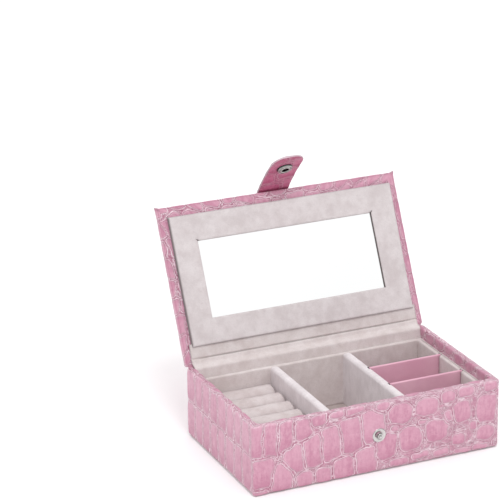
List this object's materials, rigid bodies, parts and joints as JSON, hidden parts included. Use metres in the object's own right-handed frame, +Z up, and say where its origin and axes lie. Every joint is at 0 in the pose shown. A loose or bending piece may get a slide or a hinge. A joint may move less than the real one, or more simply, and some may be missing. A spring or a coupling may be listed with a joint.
{
  "type": "jewellery box",
  "caption": "Flat rectangular jewellery box in embossed imitation leather with a snap strap, a mirror in the hinged lid, ring rolls, fixed dividers and lift-out dividers.",
  "frame": {"origin": "middle of the underside", "axes": "+Z up, +Y to the back (hinge side), +X to the right as seen from the front; the lid is open at rest"},
  "size_m": [0.2, 0.1829, 0.1995],
  "materials": {
    "croc_leather": "satin",
    "strap_lining": "satin",
    "divider_cover": "satin",
    "velvet": "matte",
    "velvet_roll": "matte",
    "foam": "matte",
    "board": "matte",
    "card": "matte",
    "backing_paper": "matte",
    "mirror_glass": "polished",
    "snap_metal": "polished"
  },
  "bodies": {
    "base": {"bottom_cover": "backing_paper", "bottom_board": "board", "front_board": "board", "back_board": "board", "left_board": "board", "right_board": "board", "base_leather": "croc_leather", "floor_lining": "velvet", "liner_front_card": "card", "liner_front_velvet": "velvet", "liner_back_card": "card", "liner_back_velvet": "velvet", "liner_left_card": "card", "liner_left_velvet": "velvet", "liner_right_card": "card", "liner_right_velvet": "velvet", "divider_left_card": "card", "divider_left_velvet": "velvet", "divider_right_card": "card", "divider_right_velvet": "velvet", "ring_card": "card", "ring_roll_1": "velvet_roll", "ring_roll_2": "velvet_roll", "ring_roll_3": "velvet_roll", "ring_roll_4": "velvet_roll", "ring_roll_5": "velvet_roll", "ring_roll_6": "velvet_roll", "hinge_leather": "croc_leather", "hinge_velvet": "velvet", "stud_flange": "snap_metal", "stud_post": "snap_metal"},
    "lid": {"lid_board": "board", "lid_foam": "foam", "lid_leather": "croc_leather", "mirror_panel_card": "card", "mirror_panel_velvet": "velvet", "mirror": "mirror_glass", "mirror_backing": "card", "strap_anchor_inner": "strap_lining", "strap_anchor_outer": "croc_leather"},
    "strap_root": {"strap_root_inner": "strap_lining", "strap_root_outer": "croc_leather"},
    "strap_tip": {"strap_tip_inner": "strap_lining", "strap_tip_outer": "croc_leather", "snap_cap": "snap_metal", "snap_socket": "snap_metal"},
    "loose_divider_front": {"loose_divider_front_card": "board", "loose_divider_front_cover": "divider_cover"},
    "loose_divider_back": {"loose_divider_back_card": "board", "loose_divider_back_cover": "divider_cover"}
  },
  "joints": [
    {"name": "lid_hinge", "type": "hinge", "parent": "base", "child": "lid", "pos_m": [0, 0.0605, 0.05515], "axis": [-1, 0, 0], "range_deg": [-116, 0], "deforming": ["hinge_leather", "hinge_velvet"]},
    {"name": "strap_root_bend", "type": "hinge", "parent": "lid", "child": "strap_root", "pos_m": [0, 0.1171, 0.16106], "axis": [-1, 0, 0], "range_deg": [-20, 55], "stiffness_Nm_per_rad": 0.03},
    {"name": "strap_tip_bend", "type": "hinge", "parent": "strap_root", "child": "strap_tip", "pos_m": [0, 0.10662, 0.17813], "axis": [-1, 0, 0], "range_deg": [0, 15], "stiffness_Nm_per_rad": 0.03},
    {"name": "front_divider_lift", "type": "slide", "parent": "base", "child": "loose_divider_front", "axis": [0, 0, 1], "range_m": [0, 0.052]},
    {"name": "back_divider_lift", "type": "slide", "parent": "base", "child": "loose_divider_back", "axis": [0, 0, 1], "range_m": [0, 0.052]}
  ]
}
